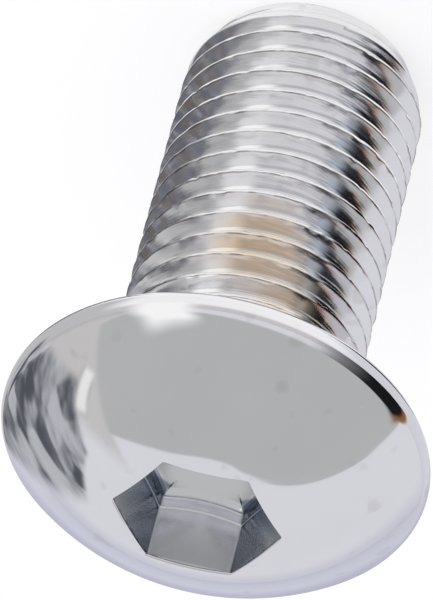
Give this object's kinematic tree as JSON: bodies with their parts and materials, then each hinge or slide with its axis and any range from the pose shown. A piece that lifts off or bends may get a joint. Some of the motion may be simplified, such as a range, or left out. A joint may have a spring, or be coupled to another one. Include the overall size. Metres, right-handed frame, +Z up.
{
  "type": "button head screw",
  "caption": "Button head cap screw with a low domed head, a hexagon socket and a threaded shank with a chamfered tip, in polished chrome, standing on its tip.",
  "frame": {"origin": "centre of the flat tip, on the surface that the screw stands on and on its axis", "axes": "+Z up along the screw's axis, from the tip to the dome; -Y is its front, the side that the picture shows"},
  "size_m": [0.0164, 0.0164, 0.0231],
  "materials": {
    "chrome": "bright polished chrome plating over steel, with faint tool marks on the thread"
  },
  "bodies": {
    "root": {"button_head_screw": "chrome"}
  },
  "joints": []
}
